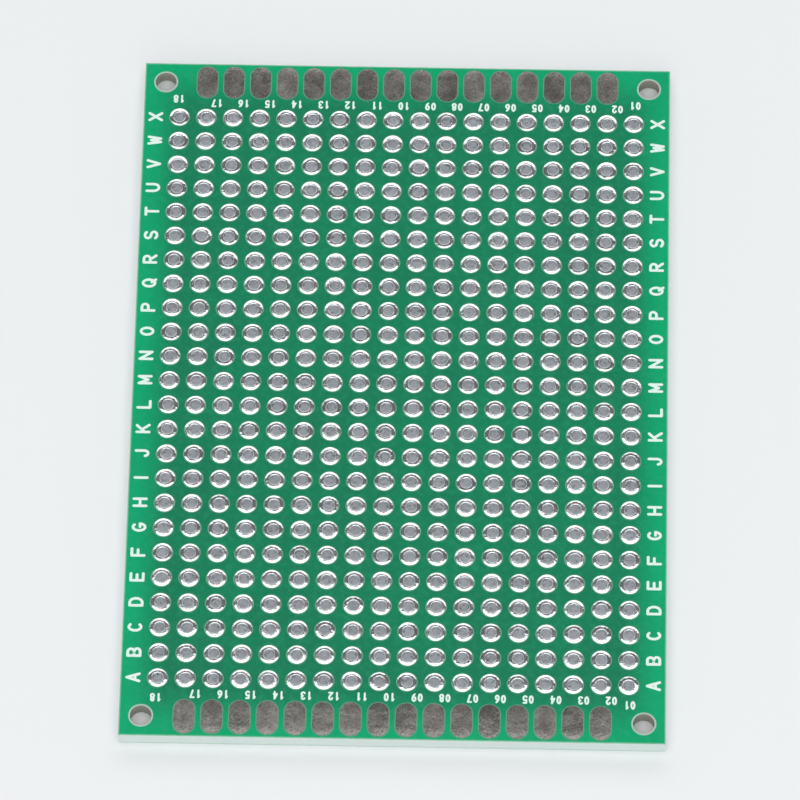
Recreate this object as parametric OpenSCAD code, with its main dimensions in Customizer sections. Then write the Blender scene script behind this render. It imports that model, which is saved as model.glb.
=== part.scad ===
// Double-sided prototype board with a grid of plated holes.
// X runs across the board, Y along it and Z up. The board lies flat on the
// crowns of its back pads, with the origin at the middle of its underside.
// Columns run from 1 at +X to 18 at -X, rows from A at -Y to X at +Y.

/* [Hole grid] */
// Spacing of the holes, one tenth of an inch
pitch = 2.54; // [2.3:0.01:4]
// Holes in each row
columns = 18; // [4:1:40]
// Rows of holes, lettered from A
rows = 24; // [4:1:24]
// Bore of a plated hole
hole_d = 1.0; // [0.6:0.05:1.2]
// Width of the tinned ring round a hole
ring_w = 0.4; // [0.25:0.01:0.5]

/* [Laminate] */
// Thickness of the glass and epoxy sheet
laminate_t = 1.53; // [0.6:0.01:3]
// Margin for the row letters, from the outer rings to the side edges
side_margin = 2.51; // [1.5:0.01:10]
// Band for the column numbers, from the outer rings to the edge pads
number_band = 1.24; // [0.4:0.01:5]

/* [Corner holes] */
// Bore of a corner hole, which has no plating
corner_hole_d = 2.0; // [1:0.1:2.6]
// Distance of a corner hole's centre from both edges
corner_inset = 2.0; // [1.7:0.05:2.6]

/* [Edge pads] */
// Width of an edge pad, across the board
edge_pad_w = 1.9; // [1:0.05:2.2]
// Length of an edge pad, with its round ends
edge_pad_l = 3.35; // [2.4:0.05:8]
// Bare strip between an edge pad and the board's end
edge_inset = 0.3; // [0.2:0.05:2]
// Columns without an edge pad, next to each corner hole
skipped_columns = 1; // [1:1:2]

/* [Plating and tin] */
// Wall of the copper barrel in a hole
barrel_t = 0.05; // [0.02:0.005:0.1]
// Thickness of the copper and tin at the rim of a pad
rim_t = 0.045; // [0.02:0.005:0.1]
// Rise of the tin from the rim of a pad to its crown
crown_h = 0.035; // [0.01:0.005:0.08]

/* [Solder mask] */
// Thickness of the green mask on each face
mask_t = 0.035; // [0.01:0.005:0.06]
// Gap in the mask round each ring and edge pad
pad_clearance = 0.1; // [0.03:0.01:0.15]
// Gap in the mask round each corner hole
corner_clearance = 0.15; // [0.05:0.05:0.6]

/* [Hidden] */
$fn = 48;
arc_steps = 4;
pad_t = rim_t + crown_h;
hole_r = hole_d / 2;
drill_r = hole_r + barrel_t;
pad_r = hole_r + ring_w;
grid_w = (columns - 1) * pitch;
grid_l = (rows - 1) * pitch;
board_w = grid_w + 2 * (pad_r + side_margin);
board_l = grid_l + 2 * (pad_r + number_band + edge_pad_l + edge_inset);
back_z = pad_t;
front_z = back_z + laminate_t;
edge_pad_y = board_l / 2 - edge_inset - edge_pad_l / 2;
edge_columns = [skipped_columns : columns - 1 - skipped_columns];

mask_colour = [0.06, 0.60, 0.38];
laminate_colour = [0.78, 0.82, 0.72];
tin_colour = [0.80, 0.80, 0.79];

row_nodes = [for (row = [0 : rows - 1]) str("plated_row_", chr(97 + row))];

function column_x(column) = grid_w / 2 - column * pitch;
function row_y(row) = row * pitch - grid_l / 2;

// Points of an arc about a centre, from one angle to another
function arc(centre, r, from, to) = [
    for (step = [0 : arc_steps])
        let (angle = from + (to - from) * step / arc_steps)
            centre + r * [cos(angle), sin(angle)]
];

// Flat arc of tin that falls by crown_h from a level crown at x0 to a rim at x1
function crown(x0, x1) =
    let (r = ((x1 - x0) ^ 2 + crown_h ^ 2) / (2 * crown_h))
        arc([x0, pad_t - r], r, 90, 90 - asin((x1 - x0) / r));

module at_grid_holes() {
    for (column = [0 : columns - 1], row = [0 : rows - 1])
        translate([column_x(column), row_y(row)]) children();
}

module at_corner_holes() {
    for (side = [-1, 1], end = [-1, 1])
        translate([
            side * (board_w / 2 - corner_inset),
            end * (board_l / 2 - corner_inset)
        ]) children();
}

// end is -1 at row A and 1 at the last row
module at_edge_pads(end) {
    for (column = edge_columns)
        translate([column_x(column), end * edge_pad_y]) children();
}

// Puts a pad on the front face, or turned over on the back face
module on_face(front) {
    if (front)
        translate([0, 0, front_z]) children();
    else
        translate([0, 0, back_z]) mirror([0, 0, 1]) children();
}

// Slot outline with full round ends. Each end circle starts at the slot's tip,
// clear of the two corners where it meets the straight sides.
module slot(w, l) {
    square([w, l - w], center = true);
    for (end = [-1, 1])
        translate([0, end * (l - w) / 2]) rotate(end * 90) circle(d = w);
}

module laminate() {
    color(laminate_colour)
        translate([0, 0, back_z])
            linear_extrude(laminate_t)
                difference() {
                    square([board_w, board_l], center = true);
                    at_grid_holes() circle(r = drill_r);
                    at_corner_holes() circle(d = corner_hole_d);
                }
}

module solder_mask(front) {
    color(mask_colour)
        on_face(front)
            linear_extrude(mask_t)
                difference() {
                    square([board_w, board_l], center = true);
                    at_grid_holes() circle(r = pad_r + pad_clearance);
                    at_corner_holes() circle(r = corner_hole_d / 2 + corner_clearance);
                    for (end = [-1, 1])
                        at_edge_pads(end)
                            slot(edge_pad_w + 2 * pad_clearance, edge_pad_l + 2 * pad_clearance);
                }
}

// Outline of a plated hole's half section, from its bore outwards on both faces
module plated_hole() {
    knee = arc([hole_r + pad_t, 0], pad_t, 180, 90);
    ring = concat(knee, crown(hole_r + pad_t, pad_r), [[pad_r, 0], [drill_r, 0]]);
    last = len(ring) - 1;
    rotate_extrude()
        polygon(concat(
            [for (p = ring) [p.x, front_z + p.y]],
            [for (i = [last : -1 : 0]) [ring[i].x, back_z - ring[i].y]]
        ));
}

module plated_row(row) {
    color(tin_colour)
        for (column = [0 : columns - 1])
            translate([column_x(column), row_y(row)]) plated_hole();
}

// Flat pad with a crowned top: a bar of the crowned section with each end turned
module edge_pad() {
    half_w = edge_pad_w / 2;
    straight_l = edge_pad_l - edge_pad_w;
    half_section = concat([[0, 0]], crown(0, half_w), [[half_w, 0]]);
    rotate([90, 0, 0])
        linear_extrude(straight_l, center = true)
            for (side = [0, 1])
                mirror([side, 0]) polygon(half_section);
    for (turn = [0, 180])
        rotate(turn)
            translate([0, straight_l / 2])
                rotate_extrude(angle = 180) polygon(half_section);
}

module edge_pads(front, end) {
    color(tin_colour)
        on_face(front)
            at_edge_pads(end) edge_pad();
}

laminate();
solder_mask(true);  // solder_mask_front
solder_mask(false);  // solder_mask_back
for (row = [0 : rows - 1])
    plated_row(row);
edge_pads(true, -1);  // edge_pads_front_a
edge_pads(true, 1);  // edge_pads_front_x
edge_pads(false, -1);  // edge_pads_back_a
edge_pads(false, 1);  // edge_pads_back_x
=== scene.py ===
# %% [markdown]
# Prototype board
#
# A double-sided prototype board is a sheet of glass cloth and epoxy with a grid of plated holes.
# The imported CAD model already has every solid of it: laminate, solder mask, plated holes and
# edge pads. This lesson keeps those solids, gives each its finish, and adds the one thing that
# is printed and not built: the white row letters and column numbers.

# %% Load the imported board
import math

import bpy
import numpy as np
from mathutils import Matrix, Vector


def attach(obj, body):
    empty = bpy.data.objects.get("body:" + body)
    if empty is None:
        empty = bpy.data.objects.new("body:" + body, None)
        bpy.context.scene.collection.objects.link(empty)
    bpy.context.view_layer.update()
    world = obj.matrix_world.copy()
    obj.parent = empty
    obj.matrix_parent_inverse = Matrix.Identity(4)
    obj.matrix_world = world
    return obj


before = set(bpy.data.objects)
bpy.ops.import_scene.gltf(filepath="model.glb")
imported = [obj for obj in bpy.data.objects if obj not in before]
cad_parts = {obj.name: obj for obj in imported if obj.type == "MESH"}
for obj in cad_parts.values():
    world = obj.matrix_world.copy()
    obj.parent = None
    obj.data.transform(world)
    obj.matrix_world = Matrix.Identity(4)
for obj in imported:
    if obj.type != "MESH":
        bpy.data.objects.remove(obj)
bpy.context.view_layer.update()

# %% [markdown]
# The board's own sizes
#
# Blender works in metres, and the finest things on this board are hundredths of a millimetre.
# All sizes here are in millimetres, and MM turns them into metres at the last moment. They
# repeat what the CAD source says, because patterns on the surface have to meet the solids:
# a bright ring of tin is useless beside its hole.

# %% Sizes in millimetres
MM = 0.001
PITCH = 2.54
COLUMNS = 18
ROWS = 24
BOARD_W = 50.0
BOARD_L = 70.0
GRID_W = (COLUMNS - 1) * PITCH
GRID_L = (ROWS - 1) * PITCH
BACK_FACE = 0.08
FRONT_FACE = 1.61
LAMINATE_T = FRONT_FACE - BACK_FACE
MIDDLE = (BACK_FACE + FRONT_FACE) / 2
MASK_T = 0.035
BORE_R = 0.5
RING_R = 0.9
RIM_T = 0.045
CROWN_H = 0.035
PAD_T = RIM_T + CROWN_H
KNEE_R = BORE_R + PAD_T
EDGE_PAD_W = 1.9
EDGE_PAD_L = 3.35
EDGE_INSET = 0.3
EDGE_PAD_Y = BOARD_L / 2 - EDGE_INSET - EDGE_PAD_L / 2
CORNER_HOLE_X = 23.0
CORNER_HOLE_Y = 33.0
CORNER_HOLE_R = 1.0
print("grid in mm:", GRID_W, "by", round(GRID_L, 2))

# %% [markdown]
# Calculating with sockets
#
# A pattern such as the distance to the nearest hole is plain arithmetic, but as nodes it would be
# a page of Math boxes. This class wraps a socket, so that an expression such as `1 - mask * 0.3`
# adds its Math nodes by itself. Colours and vectors stay out of it and go through Mix and
# Vector Math nodes, because a Math node would turn a colour grey.


# %% The socket that does arithmetic
class Wire:
    """One number of a shader, as a node's output socket that Python can calculate with."""

    def __init__(self, finish, socket):
        self.finish = finish
        self.socket = socket

    def maths(self, operation, *values):
        """Adds a Math node with this operation on these numbers or wires."""
        node = self.finish.node("ShaderNodeMath", {"operation": operation}, dict(enumerate(values)))
        return Wire(self.finish, node.outputs[0])

    def __add__(self, other):
        return self.maths("ADD", self, other)

    def __radd__(self, other):
        return self.maths("ADD", other, self)

    def __sub__(self, other):
        return self.maths("SUBTRACT", self, other)

    def __rsub__(self, other):
        return self.maths("SUBTRACT", other, self)

    def __mul__(self, other):
        return self.maths("MULTIPLY", self, other)

    def __rmul__(self, other):
        return self.maths("MULTIPLY", other, self)

    def __truediv__(self, other):
        return self.maths("DIVIDE", self, other)

    def __rtruediv__(self, other):
        return self.maths("DIVIDE", other, self)

    def __gt__(self, other):
        return self.maths("GREATER_THAN", self, other)

    def __lt__(self, other):
        return self.maths("LESS_THAN", self, other)

    def __abs__(self):
        return self.maths("ABSOLUTE", self)

    def floor(self):
        return self.maths("FLOOR", self)

    def sine(self):
        return self.maths("SINE", self)

    def root(self):
        return self.maths("SQRT", self)

    def sign(self):
        return self.maths("SIGN", self)

    def at_least(self, other):
        return self.maths("MAXIMUM", self, other)

    def at_most(self, other):
        return self.maths("MINIMUM", self, other)

    def rise(self, start, end):
        """0 below start, 1 above end, and a smooth step between them. start may be the larger."""
        node = self.finish.node(
            "ShaderNodeMapRange",
            {"interpolation_type": "SMOOTHSTEP", "clamp": True},
            {"Value": self, "From Min": start, "From Max": end},
        )
        return Wire(self.finish, node.outputs["Result"])


# %% [markdown]
# A finish, one node at a time
#
# Every other node comes from one method. It takes the node's type, then its settings, which have to
# be set before its sockets because some of them change which sockets there are, and then what goes
# into each socket: a number, a colour, or a link. Positions are the object's own coordinates,
# scaled to millimetres, so no pattern slides when the camera or the board moves.


# %% The finish
class Finish:
    """A material or world under construction."""

    def __init__(self, owner):
        owner.use_nodes = True
        self.owner = owner
        self.tree = owner.node_tree
        self.tree.nodes.clear()

    def node(self, kind, settings=None, sockets=None):
        """Adds one node: its settings first, and then what goes into each of its sockets."""
        node = self.tree.nodes.new(kind)
        for name, value in (settings or {}).items():
            setattr(node, name, value)
        for name, value in (sockets or {}).items():
            self.feed(node.inputs[name], value)
        return node

    def feed(self, socket, value):
        """Links a wire or another node's socket to this socket, or sets its number or colour."""
        if isinstance(value, Wire):
            value = value.socket
        if isinstance(value, bpy.types.NodeSocket):
            self.tree.links.new(value, socket)
        elif socket.type == "RGBA":
            socket.default_value = (*value, 1.0)
        else:
            socket.default_value = value

    def vector(self, operation, *values, scale=None):
        """A Vector Math node's result."""
        sockets = dict(enumerate(values))
        if scale is not None:
            sockets["Scale"] = scale
        return self.node("ShaderNodeVectorMath", {"operation": operation}, sockets).outputs[0]

    def place(self):
        """The point being shaded, in millimetres of the board's frame."""
        here = self.node("ShaderNodeTexCoord").outputs["Object"]
        return self.vector("SCALE", here, scale=1 / MM)

    def parts(self, vector):
        """A vector's three numbers, as wires."""
        node = self.node("ShaderNodeSeparateXYZ", None, {"Vector": vector})
        return [Wire(self, node.outputs[i]) for i in range(3)]

    def joined(self, x, y, z):
        """Three numbers as one vector."""
        return self.node("ShaderNodeCombineXYZ", None, {"X": x, "Y": y, "Z": z}).outputs[0]

    def noise(self, place, per_mm, detail=2.0, rough=0.5):
        """Soft noise from 0 to 1 with this many bumps in a millimetre."""
        node = self.node(
            "ShaderNodeTexNoise",
            None,
            {"Vector": place, "Scale": per_mm, "Detail": detail, "Roughness": rough},
        )
        return Wire(self, node.outputs["Fac"])

    def random(self, x, y):
        """Three random numbers from 0 to 1 for each whole-numbered pair."""
        node = self.node(
            "ShaderNodeTexWhiteNoise", {"noise_dimensions": "3D"}, {"Vector": self.joined(x, y, 0.0)}
        )
        return self.parts(node.outputs["Color"])

    def blend(self, factor, first, second):
        """A colour between two colours."""
        node = self.node(
            "ShaderNodeMix", {"data_type": "RGBA"}, {0: factor, 6: first, 7: second}
        )
        return node.outputs[2]

    def bump(self, height, normal=None):
        """A normal that follows a height in millimetres."""
        sockets = {"Height": height, "Distance": MM, "Strength": 1.0}
        if normal is not None:
            sockets["Normal"] = normal
        return self.node("ShaderNodeBump", None, sockets).outputs[0]

    def surface(self, **sockets):
        """Ends a material with a Principled shader. Base_Color here is its socket Base Color."""
        named = {name.replace("_", " "): value for name, value in sockets.items()}
        shader = self.node("ShaderNodeBsdfPrincipled", None, named)
        self.node("ShaderNodeOutputMaterial", None, {"Surface": shader.outputs[0]})
        print("finish", self.owner.name, "of", len(self.tree.nodes), "nodes")
        return self.owner


def new_finish(name):
    """A new material of this name, ready for its nodes."""
    return Finish(bpy.data.materials.new(name))


# %% [markdown]
# Where is the nearest hole?
#
# The hole grid is centred on the board with an even number of rows and columns, so the hole centres
# lie half a pitch away from every whole multiple of the pitch. The whole part of x / pitch names the
# cell, and what is left, less a half, is the way to the hole in the middle of that cell. Past the
# outer holes there are no more cells, so the cell's number stops at the outer ones.


# %% Cell and distance of the nearest hole
class NearestHole:
    """The cell of the hole nearest to a point, and the way from its centre, in millimetres.

    Each hole also has three random numbers of its own: chance, lean_x and lean_y.
    """

    def __init__(self, finish, x, y):
        self.column = (x / PITCH).floor().at_least(-COLUMNS / 2).at_most(COLUMNS / 2 - 1)
        self.row = (y / PITCH).floor().at_least(-ROWS / 2).at_most(ROWS / 2 - 1)
        self.dx = x - (self.column + 0.5) * PITCH
        self.dy = y - (self.row + 0.5) * PITCH
        self.r = (self.dx * self.dx + self.dy * self.dy).root()
        self.chance, self.lean_x, self.lean_y = finish.random(self.column, self.row)


# %% [markdown]
# Solder mask
#
# The mask is a coat of green lacquer, 0.035 mm thick, cured hard and glossy. Its colour isn't even,
# and part of that is painted light and shade. Over the bare margins it has a painted light, as if
# the pale laminate below lit it up, most of all near the cut edges, where light gets in. Among the
# rings it has a painted shade, as if the copper on both faces took the light that the laminate
# would send back. A real coat also shows a trace of the glass weave below it and a slight orange
# peel, both about a thousandth of a millimetre high or less. Its cut rim is paler, where the saw
# has frayed it.


# %% Green solder mask
MARGIN_GREEN_PAINTED_LIGHT = (0.002, 0.405, 0.170)
GRID_GREEN_PAINTED_SHADE = (0.008, 0.198, 0.098)
PATCH_GREEN = (0.004, 0.290, 0.128)
SPECKLE_GREEN = (0.030, 0.470, 0.230)
FRAYED_GREEN = (0.360, 0.680, 0.500)
WEAVE_PITCH = 0.46
FRAY_W = 0.16


def solder_mask_finish():
    f = new_finish("solder_mask_green")
    place = f.place()
    x, y, _ = f.parts(place)
    broad = f.noise(place, 0.16, 3.0)
    fine = f.noise(place, 1.7, 3.0)
    # across and along are 0 at the cut edges and 1 among the rings: painted light towards the edges,
    # painted shade among the rings.
    across = abs(x).rise(BOARD_W / 2 - 0.3, GRID_W / 2 - 0.8)
    along = abs(y).rise(BOARD_L / 2 - 0.2, GRID_L / 2 + 0.6)
    green = f.blend(across * along, MARGIN_GREEN_PAINTED_LIGHT, GRID_GREEN_PAINTED_SHADE)
    patchy = f.blend(broad.rise(0.3, 0.7) * 0.30, green, PATCH_GREEN)
    speckled = f.blend(fine.rise(0.42, 0.75) * 0.14, patchy, SPECKLE_GREEN)
    to_edge = (BOARD_W / 2 - abs(x)).at_most(BOARD_L / 2 - abs(y))
    frayed = to_edge.rise(FRAY_W, 0.02) * (0.35 + 0.6 * fine)
    colour = f.blend(frayed, speckled, FRAYED_GREEN)
    turn = 2 * math.pi / WEAVE_PITCH
    weave = (x * turn).sine() * (y * turn).sine()
    peel = f.noise(place, 2.6, 2.0)
    height = peel * 0.0016 + weave * 0.00012
    return f.surface(
        Base_Color=colour,
        Roughness=0.12 + 0.12 * fine,
        Normal=f.bump(height),
        IOR=1.52,
    )


# %% [markdown]
# Laminate
#
# The board itself is glass cloth in epoxy, pressed from eight plies. At the cut edges it shows as
# fine pale layers. Round each pad, where the mask stops short, it is a thin line that lacquer has
# tinged green, and round each corner hole a paler rim. The walls of the corner holes are painted a
# darker brown, a painted shade inside the hole. The layers are a sine of the height, bent by noise so
# that no line is quite straight.


# %% Glass-epoxy laminate
PALE_PLY = (0.640, 0.740, 0.710)
DEEP_PLY = (0.480, 0.600, 0.560)
GLASS_THREAD = (0.740, 0.800, 0.780)
GREEN_TINGE = (0.100, 0.380, 0.220)
HOLE_WALL_SHADE_BROWN = (0.270, 0.240, 0.185)
PLY_T = 0.19


def laminate_finish():
    f = new_finish("glass_epoxy")
    place = f.place()
    x, y, z = f.parts(place)
    broad = f.noise(place, 0.35, 3.0)
    threads = f.noise(f.vector("MULTIPLY", place, (1.0, 1.0, 9.0)), 2.2, 4.0, 0.65)
    plies = (z * (2 * math.pi / PLY_T) + broad * 2.2).sine() * 0.5 + 0.5
    layered = f.blend(plies * 0.5, PALE_PLY, DEEP_PLY)
    stranded = f.blend(threads.rise(0.35, 0.75) * 0.55, layered, GLASS_THREAD)
    on_a_face = abs(z - MIDDLE).rise(LAMINATE_T / 2 - 0.010, LAMINATE_T / 2 - 0.002)
    corner_x = abs(x) - CORNER_HOLE_X
    corner_y = abs(y) - CORNER_HOLE_Y
    corner_r = (corner_x * corner_x + corner_y * corner_y).root()
    rim = corner_r.rise(CORNER_HOLE_R + 0.30, CORNER_HOLE_R + 0.20)
    tinged = f.blend(on_a_face * (0.92 - 0.52 * rim), stranded, GREEN_TINGE)
    # Painted shade: the walls of the corner holes are darkened to a brown.
    shaded_hole_wall = corner_r.rise(CORNER_HOLE_R + 0.05, CORNER_HOLE_R + 0.01) * (1 - on_a_face)
    colour = f.blend(shaded_hole_wall * 0.75, tinged, HOLE_WALL_SHADE_BROWN)
    height = plies * 0.004 + threads * 0.016
    return f.surface(
        Base_Color=colour,
        Roughness=0.50 + 0.25 * threads,
        Normal=f.bump(height),
        IOR=1.52,
    )


# %% [markdown]
# Tin in the plated holes
#
# The board is dipped in molten tin and blown level with hot air. The tin is bright but never quite
# even: it pulls back a little on one ring and stands fuller on the next, down the bore it is lumpy
# and here and there stained, and each hole catches the light in its own way. The CAD rings are
# turned from short straight pieces. Their true section is known exactly, a quarter round at the
# knee and a flat arc beyond it, so the shader works out the smooth normal from the distance to the
# hole's centre, and the rings look turned, not faceted.


# %% Smooth normal of a crowned pad
def crowned_normal(f, dx, dy, reach, slope, rim, z):
    """The normal of tin round a middle: its sideways part is the slope on top, where a positive
    one leans outwards, and 1 on the thin outer wall. The rest of its unit length points up on
    the front face and down on the back face."""
    height = abs(z - MIDDLE) - LAMINATE_T / 2
    on_wall = (reach > rim - 0.02) * (height < RIM_T - 0.002)
    sideways = slope * (1 - on_wall) + on_wall
    upwards = (1 - sideways * sideways).at_least(0.0).root() * (z - MIDDLE).sign()
    share = sideways / reach.at_least(0.01)
    return f.vector("NORMALIZE", f.joined(share * dx, share * dy, upwards))


# %% Bright tin
TIN_SHADE = (0.79, 0.83, 0.86)
TIN_LIGHT = (0.87, 0.90, 0.92)
TIN_FROST = (0.50, 0.48, 0.46)
TIN_BORE = (0.94, 0.96, 0.99)
TIN_STAIN = (0.56, 0.51, 0.52)
CROWN_ARC_R = ((RING_R - KNEE_R) ** 2 + CROWN_H**2) / (2 * CROWN_H)


def ring_tin_finish():
    """The slope is -1 in the barrel, 0 at the crown, and grows evenly from there to the rim.

    It grows faster on a fuller ring. The whole ring leans a little, and a noise that works only
    down the bore turns the normal there.
    """
    f = new_finish("levelled_tin")
    place = f.place()
    x, y, z = f.parts(place)
    hole = NearestHole(f, x, y)
    shifted = f.vector("ADD", place, f.joined(hole.chance * 37.0, hole.chance * 11.0, 0.0))
    waves = f.noise(shifted, 1.5, 2.0)
    pits = f.noise(shifted, 6.5, 3.0, 0.6)
    frost = f.noise(shifted, 2.4, 4.0, 0.7)
    dull = frost.rise(0.45, 0.75) * (0.35 + 0.65 * hole.chance)
    bright = f.blend(waves, TIN_SHADE, TIN_LIGHT)
    colour = f.blend(dull * 0.7, bright, TIN_FROST)
    # Down the bore the tin is painted brighter than on the ring, a painted light that lifts the holes'
    # dim insides.
    down_the_bore = hole.r.rise(BORE_R + 0.05, BORE_R + 0.005)
    bore_painted_bright = f.blend(down_the_bore, colour, TIN_BORE)
    stain = frost.rise(0.42, 0.66) * (0.05 + 0.30 * hole.lean_x)
    stained = f.blend(down_the_bore * stain, bore_painted_bright, TIN_STAIN)
    inward = ((KNEE_R - hole.r) / PAD_T).at_least(0.0).at_most(1.0)
    outward = ((hole.r - KNEE_R) / CROWN_ARC_R).at_least(0.0) * (1.15 + 0.6 * hole.chance)
    turned = crowned_normal(f, hole.dx, hole.dy, hole.r, outward - inward, RING_R, z)
    lean = f.joined((hole.lean_x - 0.5) * 0.08, (hole.lean_y - 0.5) * 0.08, 0.0)
    leaning = f.vector("ADD", turned, lean)
    swirl = f.node("ShaderNodeTexNoise", None, {"Vector": shifted, "Scale": 2.4, "Detail": 1.0})
    centred = f.vector("SUBTRACT", swirl.outputs["Color"], (0.5, 0.5, 0.5))
    uneven = f.vector("ADD", leaning, f.vector("SCALE", centred, scale=down_the_bore * 1.2))
    height = waves * 0.045 + pits * 0.0035
    return f.surface(
        Base_Color=stained,
        Metallic=1.0,
        Roughness=0.13 + 0.20 * dull + 0.05 * hole.chance,
        Normal=f.bump(height, uneven),
    )


# %% [markdown]
# Tin on the edge pads
#
# The long pads at both ends carry the same tin, but a large flat pad cools slowly and the tin sets
# with a dull grain. Its colour is painted a dark, mottled brownish grey: the mottling is the tin's
# own, and its darkness and brown tint are a painted reflection of the dim surroundings that a flat
# pad mirrors. It has small glints where it rounds off at its rim.
# A coarse noise gives the patches and moves the roughness with them. A cell pattern gives the frozen
# grains and moves the height, so that both show in the shine and not only in the colour. A pad's end
# is round, so its rim is measured from a line down its middle and not from a point.


# %% Dull tin
PAD_PAINTED_DARK_REFLECTION = (0.27, 0.26, 0.24)
PAD_PAINTED_GREY_REFLECTION = (0.42, 0.41, 0.39)
PAD_PAINTED_BROWN_REFLECTION = (0.13, 0.11, 0.10)
PAD_GRAIN = (0.46, 0.45, 0.43)
PAD_ARC_R = ((EDGE_PAD_W / 2) ** 2 + CROWN_H**2) / (2 * CROWN_H)


def edge_tin_finish():
    """The slope grows evenly from the middle line, which stops half a width short of both ends."""
    f = new_finish("grained_tin")
    place = f.place()
    x, y, z = f.parts(place)
    pad = (x / PITCH).floor()
    chance, wear, _ = f.random(pad, y.sign())
    dx = x - (pad + 0.5) * PITCH
    along = abs(y) - EDGE_PAD_Y
    past = (abs(along) - (EDGE_PAD_L - EDGE_PAD_W) / 2).at_least(0.0) * along.sign() * y.sign()
    reach = (dx * dx + past * past).root()
    crowned = crowned_normal(f, dx, past, reach, reach / PAD_ARC_R, EDGE_PAD_W / 2, z)
    shifted = f.vector("ADD", place, f.joined(0.0, chance * 23.0, chance * 5.0))
    patches = f.noise(shifted, 0.8, 4.0, 0.65)
    speckle = f.noise(shifted, 5.0, 3.0, 0.7)
    grains = f.node(
        "ShaderNodeTexVoronoi", {"feature": "F1"}, {"Vector": shifted, "Scale": 4.5, "Randomness": 1.0}
    )
    grain = Wire(f, grains.outputs["Distance"])
    waves = f.noise(shifted, 0.8, 2.0)
    # Painted reflection: the pad colours are dark and brownish, as a flat pad mirroring dim
    # surroundings; their patches, specks and grains are the tin's own.
    grey = f.blend(patches.rise(0.3, 0.7), PAD_PAINTED_DARK_REFLECTION, PAD_PAINTED_GREY_REFLECTION)
    brown = f.blend(speckle.rise(0.42, 0.62) * 0.65, grey, PAD_PAINTED_BROWN_REFLECTION)
    colour = f.blend(grain.rise(0.1, 0.7) * 0.25, brown, PAD_GRAIN)
    height = waves * 0.030 + grain * 0.006 + speckle * 0.004
    return f.surface(
        Base_Color=colour,
        Metallic=1.0,
        Roughness=0.19 + 0.14 * patches + 0.06 * wear,
        Normal=f.bump(height, crowned),
    )


# %% [markdown]
# White ink
#
# The legend is screen printed with thick white ink. It is tinted by the green below it, most where
# the screen laid it thin, and dries with a faintly grainy, nearly matt skin.


# %% White legend ink
THICK_INK = (0.770, 0.930, 0.870)
THIN_INK = (0.480, 0.780, 0.660)


def legend_ink_finish():
    f = new_finish("legend_ink_white")
    place = f.place()
    thin = f.noise(place, 3.2, 3.0, 0.6)
    skin = f.noise(place, 14.0, 2.0)
    colour = f.blend(thin.rise(0.48, 0.85) * 0.5, THICK_INK, THIN_INK)
    return f.surface(
        Base_Color=colour,
        Roughness=0.48 + 0.12 * skin,
        Normal=f.bump(skin * 0.0012),
        IOR=1.5,
    )


# %% [markdown]
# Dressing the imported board
#
# The CAD nodes arrive with plain colours. Their meshes stay exactly as they are, and only the
# material in each slot changes. A node's name starts with its kind, so the kind picks the finish.

# %% Dress the CAD nodes
FINISHES = {
    "solder_mask": solder_mask_finish(),
    "laminate": laminate_finish(),
    "plated_row": ring_tin_finish(),
    "edge_pads": edge_tin_finish(),
}
for name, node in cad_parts.items():
    finish = next(FINISHES[kind] for kind in FINISHES if name.startswith(kind))
    for slot in node.material_slots:
        slot.material = finish
print("dressed", len(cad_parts), "nodes in", len(FINISHES), "finishes")

# %% [markdown]
# Letters as strokes of ink
#
# A text object would bring a typeface and thousands of faces. A screen-printed letter is simpler: a
# few strokes of one width with round ends, standing slightly proud of the mask. So each letter is a
# list of paths in a box one unit wide and one high. Straight strokes are two points, and bowls are
# arcs. Below, `bar` is a straight stroke and `bowl` an arc of an ellipse given by its middle, its
# two half sizes and its start and end in degrees.

# %% Paths that letters are made of
ARC_STEP = 30


def bar(x0, y0, x1, y1):
    """A straight stroke as its two ends."""
    return np.array([[x0, y0], [x1, y1]], float)


def bowl(x, y, half_w, half_h, start, end):
    """Points of an ellipse: its middle plus (half_w cos a, half_h sin a) for a from start to end."""
    steps = max(2, round(abs(end - start) / ARC_STEP))
    a = np.radians(np.linspace(start, end, steps + 1))
    return np.stack([x + half_w * np.cos(a), y + half_h * np.sin(a)], 1)


def run(*paths):
    """Several paths joined end to end into one stroke."""
    return np.concatenate(paths)


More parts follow.
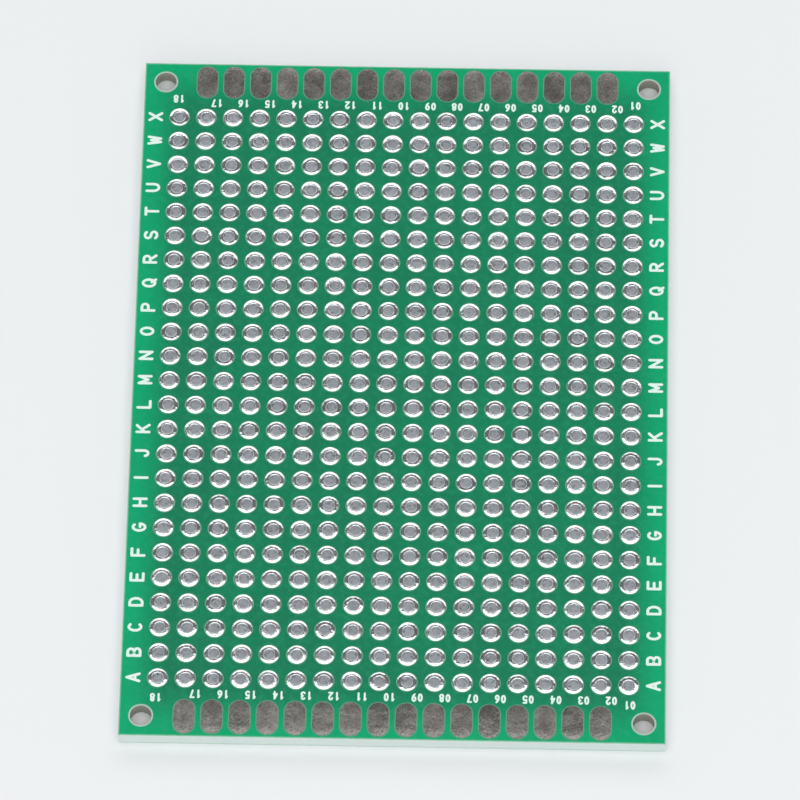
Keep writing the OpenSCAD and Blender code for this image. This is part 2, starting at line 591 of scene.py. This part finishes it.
# %% The alphabet from A to X
STEM = bar(0, 0, 0, 1)
UPPER_BOWL = run(bar(0, 1, 0.5, 1), bowl(0.55, 0.74, 0.40, 0.26, 80, -80), bar(0.5, 0.48, 0, 0.48))
LOWER_BOWL = run(bar(0.3, 0.48, 0.5, 0.48), bowl(0.58, 0.24, 0.42, 0.24, 80, -80), bar(0.5, 0, 0, 0))
LETTERS = {
    "A": [bar(0, 0, 0.5, 1), bar(0.5, 1, 1, 0), bar(0.2, 0.33, 0.8, 0.33)],
    "B": [STEM, UPPER_BOWL, LOWER_BOWL],
    "C": [bowl(0.5, 0.5, 0.5, 0.5, 50, 310)],
    "D": [STEM, run(bar(0, 1, 0.4, 1), bowl(0.45, 0.5, 0.55, 0.5, 80, -80), bar(0.4, 0, 0, 0))],
    "E": [STEM, bar(0, 1, 0.95, 1), bar(0, 0.5, 0.8, 0.5), bar(0, 0, 0.95, 0)],
    "F": [STEM, bar(0, 1, 0.95, 1), bar(0, 0.5, 0.8, 0.5)],
    "G": [bowl(0.5, 0.5, 0.5, 0.5, 50, 350), bar(0.55, 0.42, 0.99, 0.42)],
    "H": [STEM, bar(1, 0, 1, 1), bar(0, 0.5, 1, 0.5)],
    "I": [bar(0.5, 0, 0.5, 1)],
    "J": [run(bar(0.85, 1, 0.85, 0.35), bowl(0.47, 0.3, 0.38, 0.3, -10, -170))],
    "K": [STEM, bar(0.95, 1, 0.05, 0.4), bar(0.35, 0.6, 1, 0)],
    "L": [STEM, bar(0, 0, 0.9, 0)],
    "M": [STEM, bar(0, 1, 0.5, 0.25), bar(0.5, 0.25, 1, 1), bar(1, 1, 1, 0)],
    "N": [STEM, bar(0, 1, 1, 0), bar(1, 0, 1, 1)],
    "O": [bowl(0.5, 0.5, 0.5, 0.5, 0, 360)],
    "P": [STEM, UPPER_BOWL],
    "Q": [bowl(0.5, 0.5, 0.5, 0.5, 0, 360), bar(0.62, 0.28, 1, -0.05)],
    "R": [STEM, UPPER_BOWL, bar(0.45, 0.46, 1, 0)],
    "S": [run(bowl(0.5, 0.75, 0.46, 0.25, 30, 250), bowl(0.5, 0.25, 0.5, 0.25, 70, -150))],
    "T": [bar(0, 1, 1, 1), bar(0.5, 1, 0.5, 0)],
    "U": [run(bar(0, 1, 0, 0.45), bowl(0.5, 0.4, 0.5, 0.4, 180, 360), bar(1, 0.45, 1, 1))],
    "V": [bar(0, 1, 0.5, 0), bar(0.5, 0, 1, 1)],
    "W": [bar(0, 1, 0.25, 0), bar(0.25, 0, 0.5, 0.8), bar(0.5, 0.8, 0.75, 0), bar(0.75, 0, 1, 1)],
    "X": [bar(0, 0, 1, 1), bar(0, 1, 1, 0)],
}
print(len(LETTERS), "letters of", sum(len(strokes) for strokes in LETTERS.values()), "strokes")

# %% The ten figures
SIX = [bowl(0.5, 0.3, 0.48, 0.3, 0, 360), bowl(0.98, 0.32, 0.96, 0.68, 175, 105)]
FIGURES = {
    "0": [bowl(0.5, 0.5, 0.48, 0.5, 0, 360)],
    "1": [bar(0.2, 0.8, 0.5, 1), bar(0.5, 1, 0.5, 0)],
    "2": [run(bowl(0.5, 0.7, 0.48, 0.3, 165, -35), bar(0.1, 0.08, 0.0, 0.0)), bar(0, 0, 1, 0)],
    "3": [bowl(0.45, 0.76, 0.47, 0.24, 150, -80), bowl(0.45, 0.26, 0.53, 0.26, 80, -150)],
    "4": [bar(0.72, 0, 0.72, 1), bar(0.72, 1, 0, 0.32), bar(0, 0.32, 1, 0.32)],
    "5": [bar(0.92, 1, 0.12, 1), bar(0.12, 1, 0.06, 0.54), bowl(0.45, 0.32, 0.53, 0.32, 135, -145)],
    "6": SIX,
    "7": [bar(0, 1, 1, 1), bar(1, 1, 0.35, 0)],
    "8": [bowl(0.5, 0.76, 0.4, 0.24, 0, 360), bowl(0.5, 0.27, 0.5, 0.27, 0, 360)],
    "9": [1 - stroke for stroke in SIX],
}
print(len(FIGURES), "figures")

# %% [markdown]
# From a path to a bead of ink
#
# Wet ink rounds itself, so a stroke is a half-round bead. Its profile is half an ellipse, carried
# along the path, and at an open end it shrinks to the quarter-round of a fingertip. A closed path,
# such as the letter O, simply meets itself. The whole bead is worked out at once as numpy arrays:
# one index runs along the path, the other round the profile.

# %% The bead
INK_T = 0.018
INK_SUNK = 0.004
PROFILE_STEPS = 6
END_ANGLES = np.radians([78.0, 50.0, 24.0])


def directions(path, closed):
    """Unit vectors along a path: each point's two neighbours give the direction there."""
    if closed:
        along = np.roll(path, -1, 0) - np.roll(path, 1, 0)
    else:
        along = np.gradient(path, axis=0)
    return along / np.linalg.norm(along, axis=1, keepdims=True)


def bead(path, half_w):
    """A half-round bead along a path, as arrays of its points, its quads and its end faces.

    At place p on the path with sideways unit vector n, the point at angle a of the profile is
    p + n half_w s cos a, at height INK_T s sin a. The scale s is 1 along the path and the cosine
    of the end angle b past an open end, where p also moves on by half_w sin b.
    """
    closed = bool(np.allclose(path[0], path[-1]))
    path = path[:-1] if closed else path
    along = directions(path, closed)
    scale = np.ones(len(path))
    if not closed:
        past = half_w * np.sin(END_ANGLES)[:, None]
        tail = path[0] - along[0] * past
        head = path[-1] + along[-1] * past[::-1]
        path = np.concatenate([tail, path, head])
        turns = len(END_ANGLES)
        along = np.concatenate([along[:1]] * turns + [along] + [along[-1:]] * turns)
        scale = np.concatenate([np.cos(END_ANGLES), scale, np.cos(END_ANGLES)[::-1]])
    sideways = np.stack([-along[:, 1], along[:, 0]], 1)
    a = np.linspace(0, np.pi, PROFILE_STEPS + 1)
    spread = half_w * scale[:, None] * np.cos(a)
    flat = path[:, None, :] + sideways[:, None, :] * spread[..., None]
    height = INK_T * scale[:, None] * np.sin(a)
    points = np.concatenate([flat, height[..., None]], 2)
    number = np.arange(len(path) * len(a)).reshape(len(path), len(a))
    ends = np.stack([number[0, ::-1], number[-1]])
    if closed:
        number = np.concatenate([number, number[:1]])
        ends = ends[:0]
    corner = number[:-1]
    beyond = number[1:]
    quads = np.stack([corner, np.roll(corner, -1, 1), np.roll(beyond, -1, 1), beyond], 2)
    return points.reshape(-1, 3), quads.reshape(-1, 4), ends


# %% [markdown]
# Where the marks go
#
# On the real board the row letters lie on their side in both margins, with their tops towards
# column 18. The column numbers stand upside down in the band between the grid and the edge pads, a
# little to one side of their column, except 01 and 18, which have room right above theirs. The back
# face carries the same marks for the same holes, turned so that they read from behind. A mark is
# placed by its middle and two directions: which way its right side and its top point.

# %% Sizes and places of the marks
LETTER_W = 1.00
LETTER_H = 1.42
LETTER_STROKE = 0.28
LETTER_X = 23.85
FIGURE_W = 0.49
FIGURE_H = 0.88
FIGURE_STROKE = 0.195
FIGURE_STEP = 0.57
NUMBER_SHIFT = 0.97
NUMBER_Y = 30.77
END_NUMBER_SHIFT = 0.12
END_NUMBER_Y = 31.18
FRONT_INK = FRONT_FACE + MASK_T - INK_SUNK
BACK_INK = BACK_FACE - MASK_T + INK_SUNK


def mark(glyph, width, height, stroke):
    """The beads of one letter or figure, with their middle at 0."""
    size = np.array([width - stroke, height - stroke])
    return [bead((path - 0.5) * size, stroke / 2) for path in glyph]


def set_down(points, middle, right, top, out):
    """Points of a flat mark moved onto the board: middle + x right + y top + height out."""
    return np.array(middle) + points @ np.array([right, top, out], float)


# %% Put beads together in one piece
INK = legend_ink_finish()
SHARP_ANGLE = math.radians(60)


def ink_piece(name, beads):
    """One mesh of all beads, smooth on top, riding on the board."""
    faces = []
    start = 0
    for points, quads, ends in beads:
        faces += (quads + start).tolist() + (ends + start).tolist()
        start += len(points)
    points = np.concatenate([points for points, _, _ in beads]) * MM
    mesh = bpy.data.meshes.new(name)
    mesh.from_pydata(points.tolist(), [], faces)
    mesh.shade_smooth()
    mesh.set_sharp_from_angle(angle=SHARP_ANGLE)
    mesh.materials.append(INK)
    piece = bpy.data.objects.new(name, mesh)
    bpy.context.scene.collection.objects.link(piece)
    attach(piece, "root")
    print(name, len(beads), "strokes,", len(faces), "faces")


# %% Row letters on both faces
def row_letters(height, facing):
    """facing is 1 on the front and -1 on the back, where tops point the other way."""
    beads = []
    for row, letter in enumerate(LETTERS):
        strokes = mark(LETTERS[letter], LETTER_W, LETTER_H, LETTER_STROKE)
        for side in (-1, 1):
            middle = (side * LETTER_X, row * PITCH - GRID_L / 2, height)
            for points, quads, ends in strokes:
                placed = set_down(points, middle, (0, 1, 0), (-facing, 0, 0), (0, 0, facing))
                beads.append((placed, quads, ends))
    return beads


ink_piece("row_letters_front", row_letters(FRONT_INK, 1))
ink_piece("row_letters_back", row_letters(BACK_INK, -1))


# %% Column numbers on both faces
def column_numbers(height, facing):
    """Two figures for each column at both ends, with their tops towards row A."""
    beads = []
    for column in range(COLUMNS):
        hole_x = GRID_W / 2 - column * PITCH
        away = NUMBER_Y
        shift = NUMBER_SHIFT
        if column in (0, COLUMNS - 1):
            away = END_NUMBER_Y
            shift = math.copysign(END_NUMBER_SHIFT, hole_x)
        for end in (-1, 1):
            for place, figure in zip((-0.5, 0.5), f"{column + 1:02d}"):
                x = hole_x + shift - facing * place * FIGURE_STEP
                middle = (x, end * away, height)
                for points, quads, ends in mark(FIGURES[figure], FIGURE_W, FIGURE_H, FIGURE_STROKE):
                    placed = set_down(points, middle, (-facing, 0, 0), (0, -1, 0), (0, 0, facing))
                    beads.append((placed, quads, ends))
    return beads


ink_piece("column_numbers_front", column_numbers(FRONT_INK, 1))
ink_piece("column_numbers_back", column_numbers(BACK_INK, -1))

# %% [markdown]
# Floor
#
# The board lies on a plain pale table, whose top is exactly where the back pads' crowns rest. Its
# colour alone makes the background pale, and the board's shadow falls on it. Someone who looks at
# the board from below has to see its back, so the table is clear from underneath, and it casts no
# shadow of its own, which lets the room's light reach the back.


# %% The table
FLOOR_HALF_SIZE = 3.0
FLOOR_STEPS = 9
TABLE_SHADE = (0.850, 0.872, 0.885)
TABLE_LIGHT = (0.880, 0.900, 0.912)


def floor_finish():
    f = new_finish("pale_table")
    place = f.place()
    tint = f.noise(place, 0.004, 2.0)
    colour = f.blend(tint, TABLE_SHADE, TABLE_LIGHT)
    shader = f.node("ShaderNodeBsdfPrincipled", None, {"Base Color": colour, "Roughness": 0.9})
    clear = f.node("ShaderNodeBsdfTransparent")
    below = f.node("ShaderNodeNewGeometry").outputs["Backfacing"]
    seen = f.node("ShaderNodeMixShader", None, {0: below, 1: shader.outputs[0], 2: clear.outputs[0]})
    f.node("ShaderNodeOutputMaterial", None, {"Surface": seen.outputs[0]})
    return f.owner


def make_floor(half_size, steps):
    """A flat grid: x and y run evenly from -half_size to half_size, in metres, and z is 0."""
    line = np.linspace(-half_size, half_size, steps)
    x, y = np.meshgrid(line, line)
    points = np.stack([x, y, np.zeros_like(x)], 2).reshape(-1, 3)
    number = np.arange(steps * steps).reshape(steps, steps)
    quads = np.stack([number[:-1, :-1], number[:-1, 1:], number[1:, 1:], number[1:, :-1]], 2)
    mesh = bpy.data.meshes.new("table_top")
    mesh.from_pydata(points.tolist(), [], quads.reshape(-1, 4).tolist())
    mesh.materials.append(floor_finish())
    floor = bpy.data.objects.new("table_top", mesh)
    bpy.context.scene.collection.objects.link(floor)
    return floor


floor = make_floor(FLOOR_HALF_SIZE, FLOOR_STEPS)
floor.visible_shadow = False
print("floor", len(floor.data.polygons), "faces")

# %% [markdown]
# Light
#
# Tin shows what is around it, so the studio matters as much as the material. A wide soft panel hangs
# overhead and a second one stands behind the board. Between them is a gap, and a flat pad, seen from
# the camera, mirrors just that gap: it looks grey, while the rounded near and far sides of a ring
# mirror the two panels and flash white. The back panel starts well above the table, so that from low
# in front the glossy mask doesn't mirror it and stays green. A weaker panel in front lights the cut
# edge. The world is grey, dim overhead and paler towards the horizon, as in a pale room.

# %% World
WORLD_ZENITH = (0.12, 0.12, 0.12)
WORLD_HORIZON = (0.76, 0.76, 0.76)
DIM_ABOVE = 0.72
PALE_BELOW = 0.30


def make_world():
    """Between the two limits, which are sines of the angle above the horizon, grey turns paler."""
    world = bpy.data.worlds.new("pale_room")
    f = Finish(world)
    height = f.parts(f.node("ShaderNodeTexCoord").outputs["Generated"])[2]
    glow = f.blend(height.rise(DIM_ABOVE, PALE_BELOW), WORLD_ZENITH, WORLD_HORIZON)
    light = f.node("ShaderNodeBackground", None, {"Color": glow, "Strength": 1.0})
    f.node("ShaderNodeOutputWorld", None, {"Surface": light.outputs[0]})
    bpy.context.scene.world = world
    print("world", world.name)


make_world()


# %% Three soft panels
def panel(name, middle, target, width, height, radiance):
    """A rectangular lamp that faces its target, in metres.

    A panel of area A and radiance L gives pi A L watts.
    """
    lamp = bpy.data.lights.new(name, "AREA")
    lamp.shape = "RECTANGLE"
    lamp.size = width
    lamp.size_y = height
    lamp.energy = math.pi * width * height * radiance
    holder = bpy.data.objects.new(name, lamp)
    holder.location = middle
    holder.rotation_euler = (Vector(target) - Vector(middle)).to_track_quat("-Z", "Y").to_euler()
    holder.visible_camera = False
    bpy.context.scene.collection.objects.link(holder)
    print(name, round(lamp.energy, 2), "W")


panel(
    "overhead_panel",
    middle=(0.0, -0.27, 0.90),
    target=(0.0, -0.27, 0.0),
    width=1.12,
    height=1.04,
    radiance=1.6,
)
panel(
    "back_panel",
    middle=(0.0, 0.88, 0.645),
    target=(0.0, 0.0, 0.05),
    width=1.60,
    height=0.52,
    radiance=1.5,
)
panel(
    "front_panel",
    middle=(0.0, -0.95, 0.50),
    target=(0.0, 0.0, 0.05),
    width=1.60,
    height=0.84,
    radiance=0.8,
)

# %% [markdown]
# Camera
#
# The camera's place was worked out from the photograph's straight rows of holes: 0.71 m away, 64
# degrees above the table and slightly to one side. It stays exactly there, which keeps the
# perspective, but it turns to the middle of the board and has a longer lens, so that the board fills
# the picture.

# %% Camera
CAMERA_PLACE = Vector((0.01119, -0.31369, 0.63539))
CAMERA_TOP = Vector((-0.01642, 0.89512, 0.44553))
AIM = Vector((0.0, 0.0, 0.0008))
LENS = 341.0
SENSOR_W = 36.0


def make_camera():
    """CAMERA_TOP is roughly where the picture's top points. The aim sets the rest."""
    data = bpy.data.cameras.new("camera")
    data.lens = LENS
    data.sensor_width = SENSOR_W
    camera = bpy.data.objects.new("camera", data)
    forward = (AIM - CAMERA_PLACE).normalized()
    right = forward.cross(CAMERA_TOP).normalized()
    top = right.cross(forward)
    turn = Matrix((right, top, -forward)).transposed()
    camera.matrix_world = Matrix.Translation(CAMERA_PLACE) @ turn.to_4x4()
    bpy.context.scene.collection.objects.link(camera)
    bpy.context.scene.camera = camera


make_camera()
bpy.context.scene.view_settings.view_transform = "Standard"
print("camera distance in m:", round((AIM - CAMERA_PLACE).length, 4))
